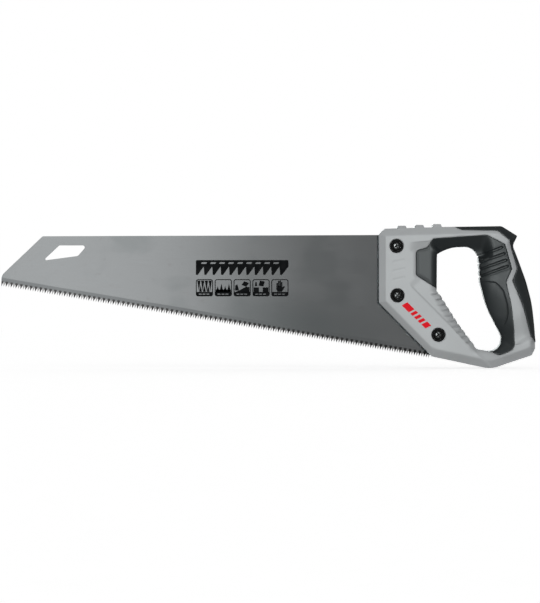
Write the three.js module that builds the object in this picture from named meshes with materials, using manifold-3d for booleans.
// Hand saw with a stiff steel blade and a two-material moulded handle.
//
// Millimetres, +Z up. The saw stands as it is held to cut: the blade points
// along -X from the handle, its back is up and its teeth are down. The plane
// y = 0 is the middle of the blade. The origin is the middle of the grip, where
// the palm closes round it.
//
// Outlines are drawn in the x-z plane. A corner is [x, z, radius].

import * as THREE from 'three';
import { mergeVertices } from 'three/addons/utils/BufferGeometryUtils.js';
import Module from 'manifold-3d';

const wasm = await Module();
wasm.setup();

// ---------------------------------------------------------------- dimensions

const GAP = 0.3;                       // clearance between neighbouring pieces

// Blade
const BLADE_THICKNESS = 0.9;
const TOOTH_COUNT = 176;
const TOOTH_LINE_ANGLE = 9.445;        // degrees, falling towards the handle
const TOOTH_PITCH = 2.54;
const TOOTH_DEPTH = 3.2;
const TOOTH_RAKE = 0.36;               // where the point lies along its pitch
const TOE_X = -518.9;                  // front end of the blade
const TOE_Z = 5.4;                     // first tooth point
const BACK_TOE = [-476.5, 55.5, 3];    // back edge meets the sloping toe
const BACK_TANG = [-97, 56.9, 0];      // back edge ends, inside the handle
const TOE_SLOPE_END = 15.2;            // the slope meets the blunt toe
const TOE_RADIUS = 9;

// Handle
const HANDLE_HALF = 14;                // half of the handle's thickness
const CHAMFER = 3;
const WEB_HALF = 10;                   // half thickness of the core under rubber
const RUBBER_AT_HOLE = 4.5;            // rubber's depth round the hand hole
const NUB_COUNT = 3;                   // thumb ridges on top of the handle
const NUB_START = [-111.9, 66.1];      // front foot and top of the first ridge
const NUB_STEP = 18.15;
const NUB_RISE = 0.85;                 // each ridge is a little higher
const NUB_FOOT = 62;                   // inside the handle's top edge
const NUB_PROFILE = [0, 1.3, 8.9, 11.6]; // front foot, two top corners, rear foot
const NUB_HALF = 9;

// Blade screws: [x, z] of each axis. Distances along an axis are from y = 0.
const SCREW_AXES = {
  top: [-112.3, 45.1],
  middle: [-111.4, -5.6],
  bottom: [-69.4, -46.0],
};
const ROUND_SEGMENTS = 24;
const EASE = 0.4;                      // chamfer on turned edges
const SHANK_RADIUS = 2;
const SHANK_END = 8;
const SHANK_BORE = SHANK_RADIUS + 0.35;
const HEAD_RADIUS = 4.2;
const HEAD_HEIGHT = 1.7;
const HEAD_TOP = HANDLE_HALF - 0.1;
const CROSS_RECESS = [5, 2, 0.9];      // across, twice the depth, width
const WASHER_RADIUS = 7;
const WASHER_BASE = 0.8;               // thickness of the washer's floor
const CUP_RADIUS = HEAD_RADIUS + EASE;
const BARREL_RADIUS = 3.2;
const BARREL_END = 4;                  // the barrel ends this far past the blade
const BARREL_FLOOR = 9.3;              // closed end of the nut's bore
const NUT_RADIUS = 6.2;
const NUT_FACE_RADIUS = 3.2;           // flat middle of the domed flange
const NUT_SLOT = [9, 2, 1.2];          // across, twice the depth, width
const COUNTERBORE_FLOOR = 10.8;
const FLANGE_SEAT = COUNTERBORE_FLOOR + GAP;
const FLANGE_TOP = HANDLE_HALF - 0.4;

// ------------------------------------------------------------------ outlines

// Handle, without the thumb ridges on its top edge.
const HANDLE = [
  [-130.1, 57.4, 0], [-124.4, 63, 0], [-64.6, 64.8, 0], [-4.2, 65.7, 8],
  [11.9, 55.6, 0], [7.6, 45.5, 5], [21.6, 9.3, 120], [27.6, -14, 120],
  [30.6, -42, 150], [30.8, -60, 0], [27.3, -67.2, 0], [-15, -81.2, 33],
  [-75.6, -68.3, 0], [-130.1, -12.9, 0],
];

// Hole for the hand.
const HAND_HOLE = [
  [-70.3, 36.8, 2], [-56.5, 44.6, 42], [-27.6, 44.9, 14], [-25.6, 9, 60],
  [-18.2, -18, 80], [-4.2, -47, 8], [-4.7, -64.6, 12], [-30, -60.6, 6],
  [-50, -33.6, 150], [-70.6, -0.9, 3],
];

// Rubber that lines the hand hole, from the finger guard over the top and down
// the grip. Its first and last points lie inside the hole.
const INNER_RUBBER = [
  [-64.9, -2.3, 0], [-92.4, 14.8, 4.5], [-92.4, 40.8, 4.5], [-80.8, 43.6, 3],
  [-75.2, 52.8, 3], [-19.6, 56.7, 6], [-0.9, 46.9, 3], [6.4, 22, 3],
  [0.2, 8.6, 5], [5.8, -16, 150], [8.4, -40, 150], [9, -60.3, 7],
  [-6.4, -67, 9], [-19, -61.3, 0],
];

// Rubber over the top rear edge, the horn and the back of the grip. The last
// three points lie outside the handle.
const REAR_RUBBER = [
  [-56, 66.6, 0], [-45.2, 61.5, 5], [-8.6, 61.1, 7], [3.7, 50.9, 5],
  [12, 22, 4], [6.9, 9.6, 4], [17.6, -16, 100], [26.2, -47, 0],
  [34, -58.3, 0], [45, -58.3, 0], [45, 75, 0], [-56, 75, 0],
];

// Thinner web of the core that carries the rubber, before the hole is cut.
const CORE_WEB = [
  [-95, -5, 0], [-95, 59, 0], [-12, 59, 0], [2, 49.5, 0], [4.6, 41.5, 0],
  [13.5, 18, 0], [18.5, 3.5, 0], [23, -12, 0], [24.8, -26, 0],
  [22.5, -42, 0], [20, -62, 0], [-10, -72, 0], [-45, -62, 0],
];

// Tang of the blade inside the handle, from the last tooth to the back edge.
const TANG = [
  [-76.5, -63, 0], [-52, -65.5, 0], [-52, -47, 0], [-97, -2, 0],
];

// Hole near the toe that the saw hangs by.
const HANG_HOLE = [
  [-459.5, 46, 1], [-430.8, 46, 2], [-440.1, 35.2, 3], [-473.8, 30.7, 1],
  [-473.8, 32.6, 0.5],
];

// ------------------------------------------------------------ shape helpers

// Turns corners [x, z, radius] into points, with an arc at each rounded corner.
function rounded(corners) {
  const points = [];
  corners.forEach(([x, z, radius], i) => {
    const corner = new THREE.Vector2(x, z);
    if (!radius) {
      points.push(corner);
      return;
    }
    const before = new THREE.Vector2(...corners.at(i - 1));
    const after = new THREE.Vector2(...corners[(i + 1) % corners.length]);
    const toBefore = before.sub(corner).normalize();
    const toAfter = after.sub(corner).normalize();
    const half = Math.acos(toBefore.dot(toAfter)) / 2;
    const inward = toBefore.clone().add(toAfter).normalize();
    const centre = corner.clone().addScaledVector(inward, radius / Math.sin(half));
    const start = toBefore.multiplyScalar(radius / Math.tan(half)).add(corner);
    const end = toAfter.multiplyScalar(radius / Math.tan(half)).add(corner);
    const from = start.clone().sub(centre).angle();
    let sweep = end.clone().sub(centre).angle() - from;
    sweep -= 2 * Math.PI * Math.round(sweep / (2 * Math.PI));
    const steps = Math.max(2, Math.ceil(Math.abs(sweep) / 0.3));
    for (let k = 0; k <= steps; k += 1) {
      const angle = from + (sweep * k) / steps;
      points.push(new THREE.Vector2(
        centre.x + radius * Math.cos(angle),
        centre.y + radius * Math.sin(angle),
      ));
    }
  });
  return THREE.ShapeUtils.isClockWise(points) ? points.reverse() : points;
}

// Moves every side of a counter-clockwise outline outwards by a distance.
function grown(points, distance) {
  return points.map((point, i) => {
    const into = point.clone().sub(points.at(i - 1)).normalize();
    const out = points[(i + 1) % points.length].clone().sub(point).normalize();
    const normal = new THREE.Vector2(into.y + out.y, -into.x - out.x).normalize();
    const reach = distance / (normal.x * into.y - normal.y * into.x);
    return point.clone().addScaledVector(normal, reach);
  });
}

// Makes a manifold solid from a three.js geometry.
function solid(geometry) {
  const bare = geometry.clone();
  bare.deleteAttribute('normal');
  bare.deleteAttribute('uv');
  const merged = mergeVertices(bare, 1e-4);
  const index = [...merged.index.array];
  const triangles = [];
  for (let i = 0; i < index.length; i += 3) {
    const [a, b, c] = index.slice(i, i + 3);
    if (a !== b && b !== c && c !== a) triangles.push(a, b, c);
  }
  return new wasm.Manifold(new wasm.Mesh({
    numProp: 3,
    vertProperties: new Float32Array(merged.attributes.position.array),
    triVerts: new Uint32Array(triangles),
  }));
}

// Joins copies of an outline at several levels [y, growth] into one solid.
function stack(outline, levels) {
  const count = outline.length;
  const position = [];
  levels.forEach(([y, growth]) => {
    const ring = growth ? grown(outline, growth) : outline;
    ring.forEach((point) => position.push(point.x, y, point.y));
  });
  const index = [];
  for (let level = 0; level < levels.length - 1; level += 1) {
    const low = level * count;
    const high = low + count;
    for (let i = 0; i < count; i += 1) {
      const j = (i + 1) % count;
      index.push(low + i, high + i, high + j, low + i, high + j, low + j);
    }
  }
  const last = (levels.length - 1) * count;
  THREE.ShapeUtils.triangulateShape(outline, []).forEach(([a, b, c]) => {
    index.push(a, b, c, last + a, last + c, last + b);
  });
  const geometry = new THREE.BufferGeometry();
  geometry.setAttribute('position', new THREE.Float32BufferAttribute(position, 3));
  geometry.setIndex(index);
  return solid(geometry);
}

// A flat prism of an outline, centred on y = 0.
function prism(outline, half) {
  return stack(outline, [[-half, 0], [half, 0]]);
}

// Turns a profile of [radius, y] round the y axis.
function turned(profile) {
  const points = profile.map(([radius, y]) => new THREE.Vector2(radius, y));
  return solid(new THREE.LatheGeometry(points, ROUND_SEGMENTS));
}

// A box with its centre at a place, turned round the y axis.
function bar(size, place, turn) {
  const box = new THREE.BoxGeometry(...size);
  box.rotateY(turn);
  box.translate(...place);
  return solid(box);
}

function moved(shape, [x, z]) {
  return shape.translate([x, 0, z]);
}

function mesh(name, shape, material) {
  const { vertProperties, triVerts } = shape.getMesh();
  const geometry = new THREE.BufferGeometry();
  geometry.setAttribute('position', new THREE.BufferAttribute(vertProperties, 3));
  geometry.setIndex(new THREE.BufferAttribute(triVerts, 1));
  const piece = new THREE.Mesh(geometry, material);
  piece.name = name;
  return piece;
}

function finish(colour, roughness, metalness) {
  return new THREE.MeshStandardMaterial({
    color: colour, roughness, metalness, flatShading: true,
  });
}

const bladeSteel = finish(0x9c9da0, 0.38, 0.95);
const greyPlastic = finish(0xa6a8aa, 0.5, 0);
const darkRubber = finish(0x3c3d3f, 0.8, 0);
const blackSteel = finish(0x121314, 0.4, 0.7);

// -------------------------------------------------------------------- blade

// Corners of the toothed edge, from the toe to the last tooth before the handle.
function toothedEdge() {
  const fall = THREE.MathUtils.degToRad(TOOTH_LINE_ANGLE);
  const corner = (distance, depth) => [
    TOE_X + distance * Math.cos(fall) + depth * Math.sin(fall),
    TOE_Z - distance * Math.sin(fall) + depth * Math.cos(fall),
    0,
  ];
  const corners = [corner(0, 0)];
  for (let tooth = 0; tooth < TOOTH_COUNT; tooth += 1) {
    corners.push(corner((tooth + 0.5) * TOOTH_PITCH, TOOTH_DEPTH));
    corners.push(corner((tooth + 0.5 + TOOTH_RAKE) * TOOTH_PITCH, 0));
  }
  return corners;
}

function blade() {
  const outline = rounded([
    ...toothedEdge(), ...TANG, BACK_TANG, BACK_TOE, [TOE_X, TOE_SLOPE_END, TOE_RADIUS],
  ]);
  let plate = prism(outline, BLADE_THICKNESS / 2);
  plate = plate.subtract(prism(rounded(HANG_HOLE), BLADE_THICKNESS));
  const clearance = BARREL_RADIUS + GAP;
  const hole = turned([
    [0, -BLADE_THICKNESS], [clearance, -BLADE_THICKNESS],
    [clearance, BLADE_THICKNESS], [0, BLADE_THICKNESS],
  ]);
  Object.values(SCREW_AXES).forEach((axis) => {
    plate = plate.subtract(moved(hole, axis));
  });
  return mesh('blade', plate, bladeSteel);
}

// ------------------------------------------------------------------- handle

const handleOutline = rounded(HANDLE);
const holeOutline = rounded(HAND_HOLE);
const webOutline = rounded(CORE_WEB);

// The whole handle, both materials together, before it is divided.
function handleBody() {
  const edge = HANDLE_HALF - CHAMFER;
  let body = stack(handleOutline, [
    [-HANDLE_HALF, -CHAMFER], [-edge, 0], [edge, 0], [HANDLE_HALF, -CHAMFER],
  ]);
  for (let i = 0; i < NUB_COUNT; i += 1) {
    const [foot, rise, fall, heel] = NUB_PROFILE.map(
      (along) => NUB_START[0] + NUB_STEP * i + along,
    );
    const top = NUB_START[1] + NUB_RISE * i;
    const ridge = rounded([
      [foot, NUB_FOOT, 0], [rise, top, 0], [fall, top, 0], [heel, NUB_FOOT, 0],
    ]);
    body = body.add(prism(ridge, NUB_HALF));
  }
  return body.subtract(stack(holeOutline, [
    [-HANDLE_HALF - 1, CHAMFER + 1], [-edge, 0], [edge, 0],
    [HANDLE_HALF + 1, CHAMFER + 1],
  ]));
}

// The web, or with a margin the room that it needs inside the rubber.
function coreWeb(margin) {
  const plate = prism(grown(webOutline, margin), WEB_HALF + margin);
  const hole = grown(holeOutline, RUBBER_AT_HOLE - margin);
  return plate.subtract(prism(hole, HANDLE_HALF));
}

// Slot for the tang, open at the front and below it.
function bladeSlot() {
  const front = HANDLE[0][0] - 10;
  const below = 5;
  const [heel, lowRear, highRear, rise] = TANG;
  const [lastTooth] = toothedEdge().slice(-1);
  const slot = rounded([
    [front, BACK_TANG[1] + GAP, 0],
    [BACK_TANG[0] + GAP, BACK_TANG[1] + GAP, 0],
    [rise[0] + GAP, rise[1] + GAP / 2, 0],
    [highRear[0] + GAP, highRear[1] + GAP / 2, 0],
    [lowRear[0] + GAP, lowRear[1] - GAP, 0],
    [heel[0] + GAP, heel[1] - GAP, 0],
    [lastTooth[0] + GAP, lastTooth[1] - below, 0],
    [front, lastTooth[1] - below, 0],
  ]);
  return prism(slot, BLADE_THICKNESS / 2 + GAP);
}

// Bore for a screw and its nut, with a counterbore for the washer and the nut.
function screwBore() {
  const outside = HANDLE_HALF + 1;
  const barrel = BARREL_RADIUS + GAP;
  return turned([
    [0, -outside], [WASHER_RADIUS + GAP, -outside],
    [WASHER_RADIUS + GAP, -COUNTERBORE_FLOOR], [SHANK_BORE, -COUNTERBORE_FLOOR],
    [SHANK_BORE, -BARREL_END - GAP], [barrel, -BARREL_END - GAP],
    [barrel, COUNTERBORE_FLOOR], [NUT_RADIUS + GAP, COUNTERBORE_FLOOR],
    [NUT_RADIUS + GAP, outside], [0, outside],
  ]);
}

const wholeHandle = handleBody();
const beyond = HANDLE_HALF + 5;

function handleCore() {
  let core = wholeHandle
    .subtract(prism(rounded(INNER_RUBBER), beyond))
    .subtract(prism(rounded(REAR_RUBBER), beyond))
    .add(coreWeb(0))
    .subtract(bladeSlot());
  Object.values(SCREW_AXES).forEach((axis) => {
    core = core.subtract(moved(screwBore(), axis));
  });
  return mesh('handle_core', core, greyPlastic);
}

function rubber(name, corners) {
  const zone = prism(grown(rounded(corners), -GAP), beyond);
  const skin = wholeHandle.intersect(zone).subtract(coreWeb(GAP));
  return mesh(name, skin, darkRubber);
}

// ------------------------------------------------------------- blade screws
// Each screw enters from the -Y side and turns into a sleeve nut from the +Y
// side. Profiles are [radius, y].

function screw(name, turn) {
  const seat = HEAD_TOP - HEAD_HEIGHT;
  const shape = turned([
    [0, -HEAD_TOP], [HEAD_RADIUS - 4 * EASE, -HEAD_TOP],
    [HEAD_RADIUS - EASE, -HEAD_TOP + EASE], [HEAD_RADIUS, -seat - EASE],
    [HEAD_RADIUS, -seat], [SHANK_RADIUS, -seat], [SHANK_RADIUS, SHANK_END - EASE],
    [SHANK_RADIUS - EASE, SHANK_END], [0, SHANK_END],
  ]);
  const across = bar(CROSS_RECESS, [0, -HEAD_TOP, 0], turn);
  const down = bar(CROSS_RECESS, [0, -HEAD_TOP, 0], turn + Math.PI / 2);
  return mesh(name, shape.subtract(across).subtract(down), blackSteel);
}

function cupWasher(name) {
  const floor = FLANGE_SEAT + WASHER_BASE;
  return mesh(name, turned([
    [SHANK_BORE, -FLANGE_SEAT], [SHANK_BORE, -floor], [CUP_RADIUS, -floor],
    [CUP_RADIUS + EASE, -floor - EASE], [CUP_RADIUS + 2 * EASE, -FLANGE_TOP],
    [WASHER_RADIUS - EASE, -FLANGE_TOP], [WASHER_RADIUS, -FLANGE_TOP + EASE],
    [WASHER_RADIUS, -FLANGE_SEAT], [SHANK_BORE, -FLANGE_SEAT],
  ]), blackSteel);
}

function sleeveNut(name, turn) {
  const shape = turned([
    [0, BARREL_FLOOR], [SHANK_BORE, BARREL_FLOOR], [SHANK_BORE, -BARREL_END],
    [BARREL_RADIUS, -BARREL_END], [BARREL_RADIUS, FLANGE_SEAT],
    [NUT_RADIUS, FLANGE_SEAT], [NUT_RADIUS, FLANGE_TOP - 2 * EASE],
    [NUT_RADIUS - 2 * EASE, FLANGE_TOP - EASE / 2], [NUT_FACE_RADIUS, FLANGE_TOP],
    [0, FLANGE_TOP],
  ]);
  const slot = bar(NUT_SLOT, [0, FLANGE_TOP, 0], turn);
  return mesh(name, shape.subtract(slot), blackSteel);
}

function screwSet(place, turn) {
  const set = new THREE.Group();
  const [x, z] = SCREW_AXES[place];
  set.position.set(x, 0, z);
  set.add(screw(`blade_screw_${place}`, turn));
  set.add(cupWasher(`cup_washer_${place}`));
  set.add(sleeveNut(`sleeve_nut_${place}`, turn * 2));
  return set;
}

// --------------------------------------------------------------- the assembly

const handSaw = new THREE.Group();
handSaw.name = 'hand_saw';
handSaw.add(blade());
handSaw.add(handleCore());
handSaw.add(rubber('inner_grip', INNER_RUBBER));
handSaw.add(rubber('rear_grip', REAR_RUBBER));
handSaw.add(screwSet('top', 0.35));
handSaw.add(screwSet('middle', 0.9));
handSaw.add(screwSet('bottom', 0.6));

export default handSaw;
